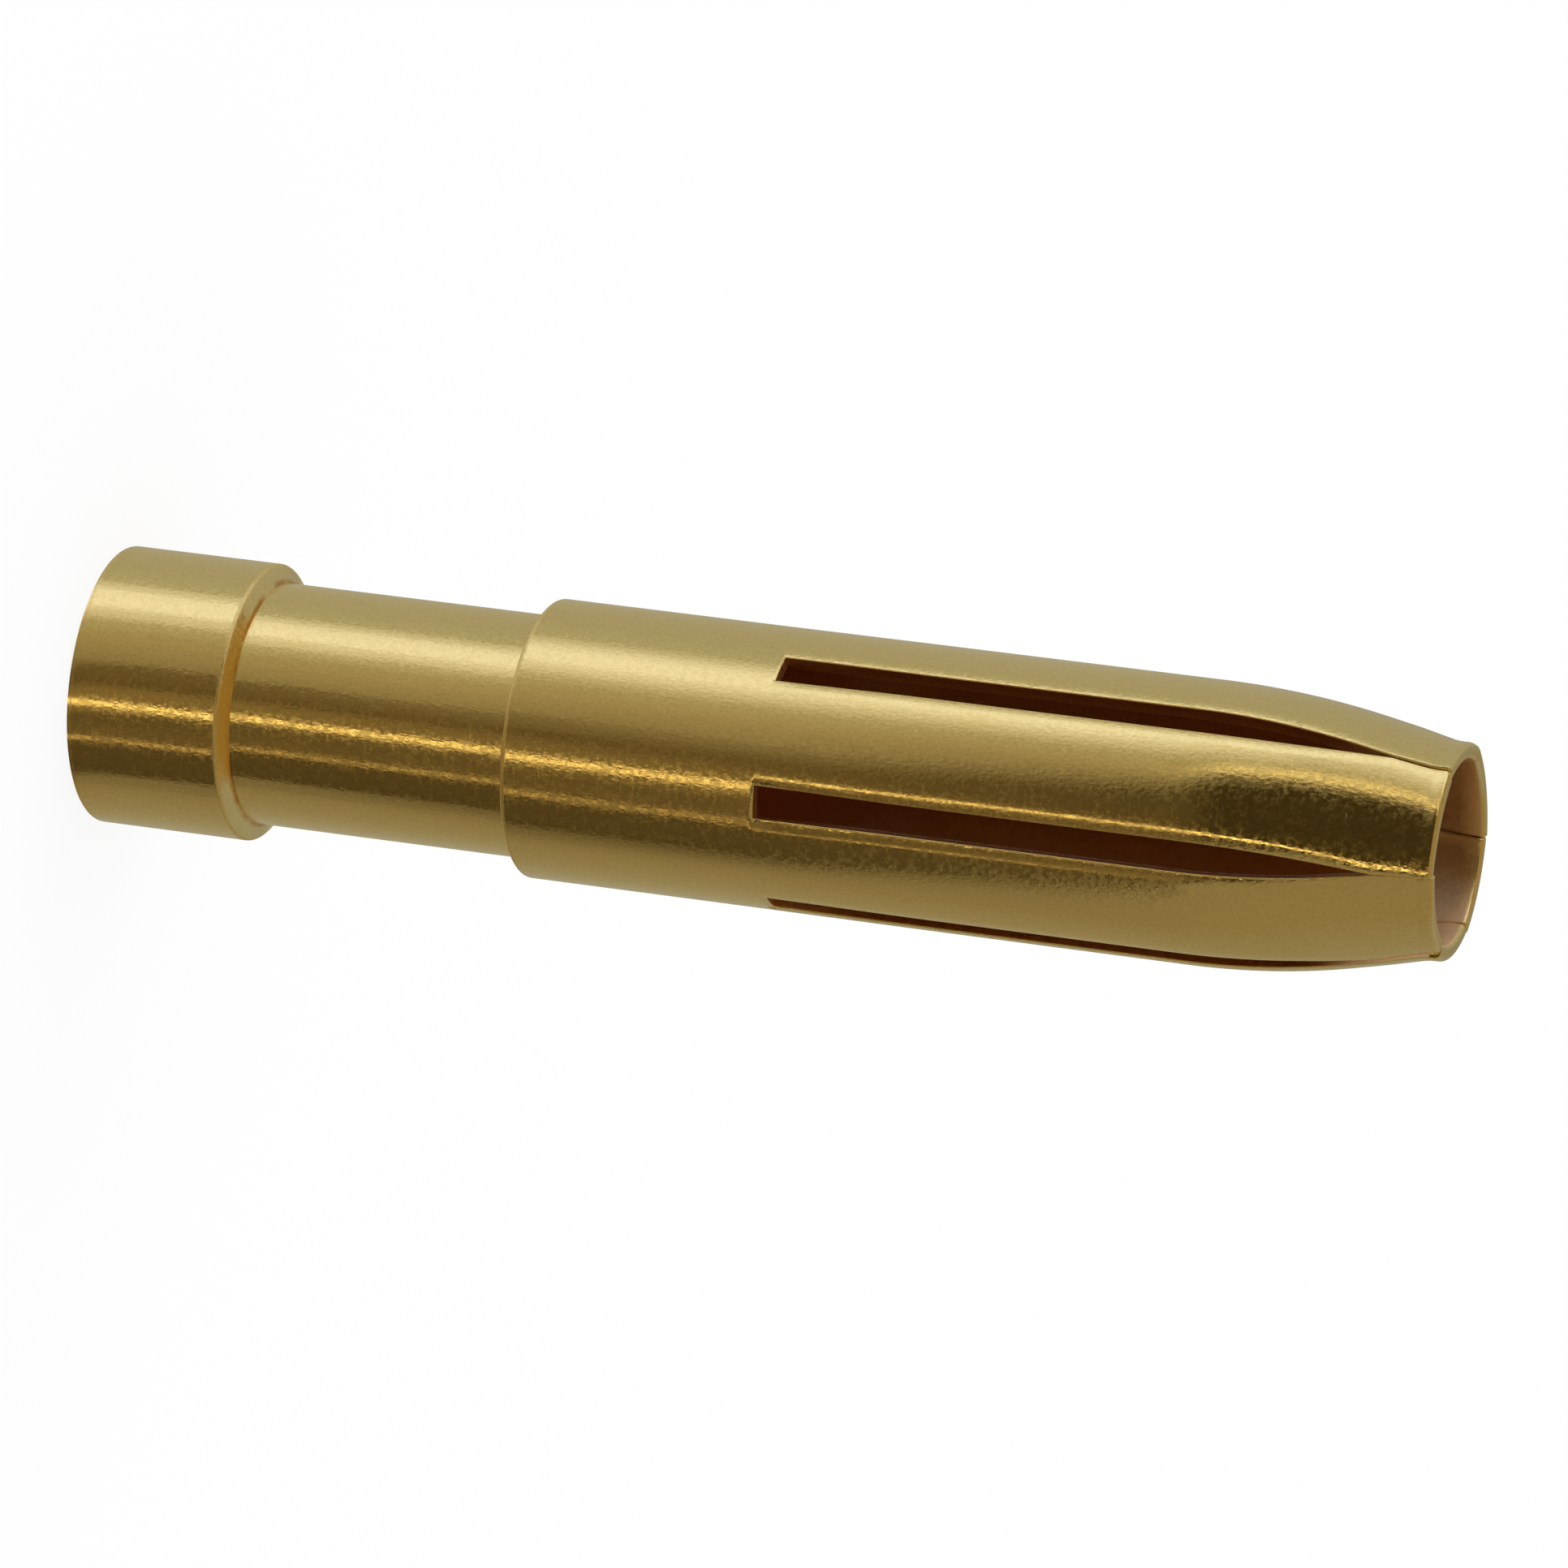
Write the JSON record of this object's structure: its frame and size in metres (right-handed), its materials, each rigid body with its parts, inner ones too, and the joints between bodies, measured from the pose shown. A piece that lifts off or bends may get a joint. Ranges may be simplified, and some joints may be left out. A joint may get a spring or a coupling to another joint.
{
  "type": "crimp socket contact",
  "caption": "Turned crimp socket contact: a collared wire barrel behind a slotted tube whose spring tines close in at the mouth to grip a round pin.",
  "frame": {"origin": "centre of the rear face, at the wire entry", "axes": "+Z along the contact's axis, from the wire entry to the mouth; one slot lies on +X"},
  "size_m": [0.006, 0.006, 0.03],
  "materials": {
    "gold_plating": "satin gold plating over turned and tumbled copper alloy"
  },
  "bodies": {
    "root": {"contact": "gold_plating"}
  },
  "joints": []
}
